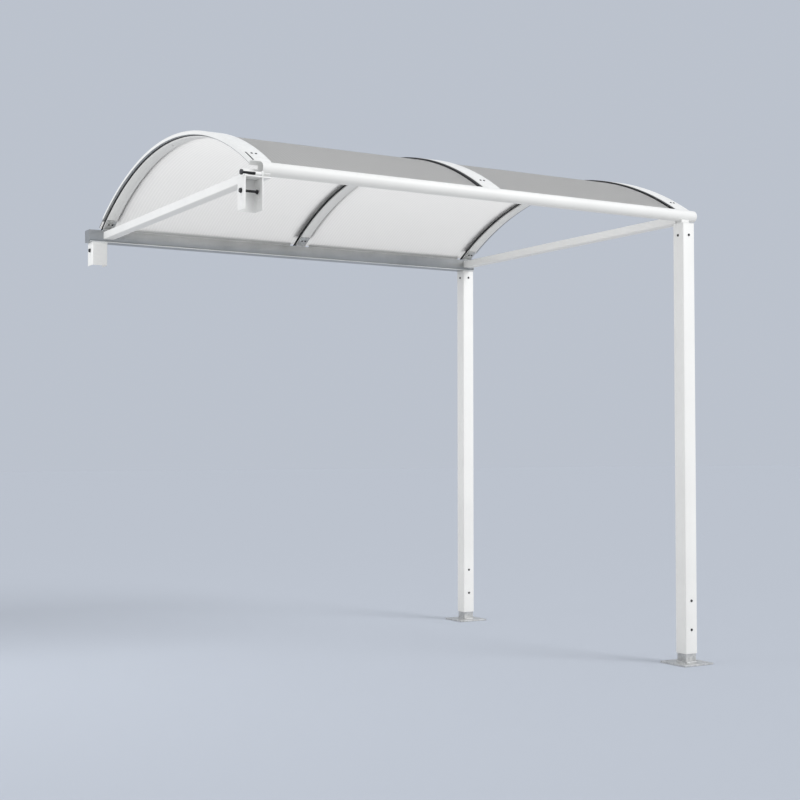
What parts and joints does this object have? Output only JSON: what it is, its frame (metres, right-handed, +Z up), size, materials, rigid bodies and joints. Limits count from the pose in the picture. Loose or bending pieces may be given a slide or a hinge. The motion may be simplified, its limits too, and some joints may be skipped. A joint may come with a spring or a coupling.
{
  "type": "waiting shelter extension bay",
  "caption": "Open waiting shelter bay: barrel roof of opal multiwall sheets on curved ribs, square posts on base plates at one end and U brackets for a neighbouring bay at the other.",
  "frame": {"origin": "middle of the front base plate's underside, on the ground", "axes": "+X along the front tube, away from the neighbouring bay; +Y from the open front to the rear rail; +Z up"},
  "size_m": [2.7005, 2.345, 2.7362],
  "materials": {
    "painted_steel": "white powder coat, satin",
    "galvanised_steel": "hot-dip galvanised, dull grey",
    "gutter_aluminium": "mill-finish extruded aluminium, matt grey",
    "strap_aluminium": "white powder-coated aluminium, satin",
    "seal_rubber": "black EPDM rubber, matt",
    "multiwall_sheet": "translucent opal multiwall polycarbonate sheet",
    "screw_steel": "dark plated steel"
  },
  "bodies": {
    "root": {"front_base_plate": "galvanised_steel", "rear_base_plate": "galvanised_steel", "front_base_sleeve": "galvanised_steel", "rear_base_sleeve": "galvanised_steel", "rib_feet": "galvanised_steel", "front_post": "painted_steel", "rear_post": "painted_steel", "front_head": "painted_steel", "rear_head": "painted_steel", "tube_cradles": "painted_steel", "front_tube": "painted_steel", "front_tube_cap": "painted_steel", "right_cross_tube": "painted_steel", "left_cross_tube": "painted_steel", "left_rib": "painted_steel", "middle_rib": "painted_steel", "right_rib": "painted_steel", "front_bracket": "painted_steel", "rear_bracket": "painted_steel", "bracket_plates": "painted_steel", "tube_saddle": "painted_steel", "coupling_lug": "painted_steel", "rear_rail": "gutter_aluminium", "rail_end_caps": "gutter_aluminium", "left_strap": "strap_aluminium", "middle_strap": "strap_aluminium", "right_strap": "strap_aluminium", "left_lower_seal": "seal_rubber", "middle_lower_seal": "seal_rubber", "right_lower_seal": "seal_rubber", "left_upper_seal": "seal_rubber", "middle_upper_seal": "seal_rubber", "right_upper_seal": "seal_rubber", "left_sheet": "multiwall_sheet", "right_sheet": "multiwall_sheet", "post_screws": "screw_steel", "strap_screws": "screw_steel", "foot_screws": "screw_steel"}
  },
  "joints": []
}
